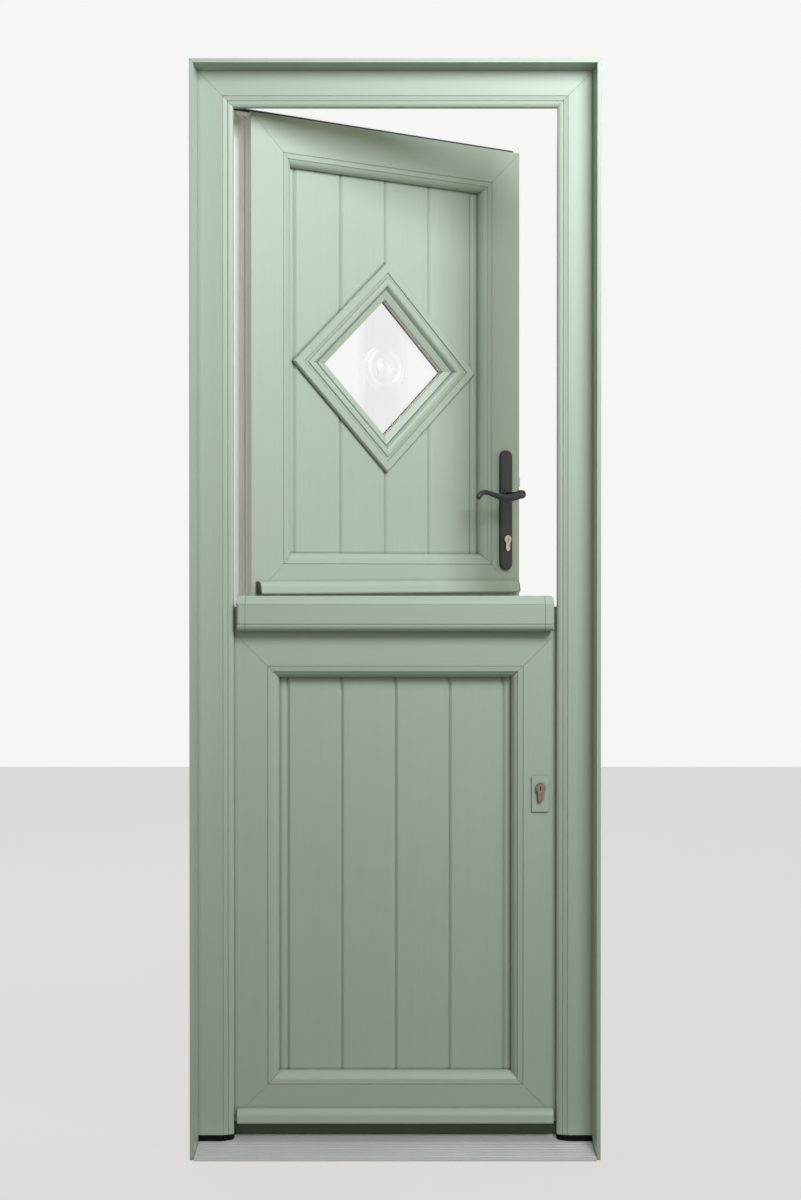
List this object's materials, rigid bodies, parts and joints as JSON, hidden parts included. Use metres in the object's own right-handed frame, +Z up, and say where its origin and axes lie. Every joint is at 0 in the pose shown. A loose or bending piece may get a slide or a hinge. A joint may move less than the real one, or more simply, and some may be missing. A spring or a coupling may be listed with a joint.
{
  "type": "stable door",
  "caption": "Stable door with separately opening upper and lower leaves, frame, threshold, grooved panels, diamond window, lever handle, locks and hinges.",
  "frame": {"origin": "on the floor, centred in the frame's width, in the plane of the frame's exterior face", "axes": "+X to the right seen from outside, +Y inwards, +Z up"},
  "size_m": [0.766, 0.5127, 2.05],
  "materials": {
    "green_foil": "satin sage-green wood-grained foil",
    "white_core": "smooth off-white plastic",
    "seal_rubber": "soft black rubber",
    "aluminium": "mill-finished ribbed extrusion",
    "lever_black": "matt black powder coat",
    "nickel": "satin nickel",
    "steel": "zinc-plated steel",
    "packer_black": "black moulded plastic",
    "hinge_white": "white powder coat",
    "glass": "clear glass with a spun bullseye"
  },
  "bodies": {
    "frame": {"frame_jamb_hinge_side": "green_foil", "frame_head": "green_foil", "frame_jamb_lock_side": "green_foil", "trim_hinge_side": "green_foil", "trim_head": "green_foil", "trim_lock_side": "green_foil", "threshold": "aluminium", "threshold_seal": "seal_rubber", "threshold_end_pads": "packer_black", "frame_seal": "seal_rubber", "strike_upper": "steel", "strike_lower": "steel", "lower_hinge_frame_parts": "hinge_white", "upper_hinge_frame_parts": "hinge_white", "hinge_pins": "steel"},
    "lower_leaf": {"lower_stile_hinge_side": "green_foil", "lower_stile_lock_side": "green_foil", "lower_rail_top": "green_foil", "lower_rail_bottom": "green_foil", "lower_panel": "green_foil", "lower_glazing_beads": "white_core", "lower_leaf_seals": "seal_rubber", "lower_drip_bar": "green_foil", "meeting_bar": "green_foil", "meeting_bar_end_caps": "green_foil", "lower_escutcheons": "green_foil", "lower_cylinder": "nickel", "lower_lock_case": "steel", "lower_hinge_leaf_parts": "hinge_white", "tie_bolt_keep": "hinge_white"},
    "lower_key_plug": {"lower_cylinder_plug": "nickel"},
    "lower_bolt": {"lower_deadbolt": "steel"},
    "upper_leaf": {"upper_stile_hinge_side": "green_foil", "upper_stile_lock_side": "green_foil", "upper_rail_top": "green_foil", "upper_rail_bottom": "green_foil", "upper_panel": "green_foil", "upper_glazing_beads": "white_core", "upper_leaf_seal": "seal_rubber", "upper_drip_bar": "green_foil", "diamond_moulding_outside": "green_foil", "diamond_moulding_inside": "white_core", "glass_outer_pane": "glass", "glass_inner_pane": "glass", "glass_spacer": "aluminium", "backplate_outside": "lever_black", "backplate_inside": "lever_black", "upper_cylinder": "nickel", "upper_lock_case": "steel", "upper_hinge_leaf_parts": "hinge_white", "tie_bolt_housing": "hinge_white"},
    "handle": {"lever_outside": "lever_black", "lever_inside": "lever_black", "spindle": "steel"},
    "latch": {"upper_latch": "steel"},
    "upper_key_plug": {"upper_cylinder_plug": "nickel"},
    "upper_bolt": {"upper_deadbolt": "steel"},
    "tie": {"tie_bolt": "steel"}
  },
  "joints": [
    {"name": "lower_leaf_swing", "type": "hinge", "parent": "frame", "child": "lower_leaf", "pos_m": [-0.341, 0.099, 0], "axis": [0, 0, 1], "range_deg": [0, 90]},
    {"name": "upper_leaf_swing", "type": "hinge", "parent": "lower_leaf", "child": "upper_leaf", "pos_m": [-0.341, 0.099, 1.5], "axis": [0, 0, 1], "range_deg": [-30.8, 59.2]},
    {"name": "handle_turn", "type": "hinge", "parent": "upper_leaf", "child": "handle", "pos_m": [0.23881, 0.32938, 1.256], "axis": [0.512, -0.859, 0], "range_deg": [0, 35], "stiffness_Nm_per_rad": 1.5, "springref_deg": -17.19},
    {"name": "latch_slide", "type": "slide", "parent": "upper_leaf", "child": "latch", "axis": [0.859, 0.512, 0], "range_m": [-0.016, 0]},
    {"name": "upper_key_turn", "type": "hinge", "parent": "upper_leaf", "child": "upper_key_plug", "pos_m": [0.23881, 0.32938, 1.164], "axis": [0.512, -0.859, 0], "range_deg": [0, 360]},
    {"name": "upper_bolt_slide", "type": "slide", "parent": "upper_leaf", "child": "upper_bolt", "axis": [0.859, 0.512, 0], "range_m": [0, 0.02]},
    {"name": "lower_key_turn", "type": "hinge", "parent": "lower_leaf", "child": "lower_key_plug", "pos_m": [0.275, 0, 0.687], "axis": [0, -1, 0], "range_deg": [0, 360]},
    {"name": "lower_bolt_slide", "type": "slide", "parent": "lower_leaf", "child": "lower_bolt", "axis": [1, 0, 0], "range_m": [0, 0.02]},
    {"name": "tie_bolt_slide", "type": "slide", "parent": "upper_leaf", "child": "tie", "axis": [0, 0, -1], "range_m": [0, 0.038]}
  ],
  "couplings": [
    {"joint": "latch_slide", "follows": "handle_turn", "m_per_rad": -0.026191},
    {"joint": "upper_key_turn", "follows": "upper_bolt_slide", "rad_per_m": 314.16},
    {"joint": "lower_key_turn", "follows": "lower_bolt_slide", "rad_per_m": 314.16}
  ]
}
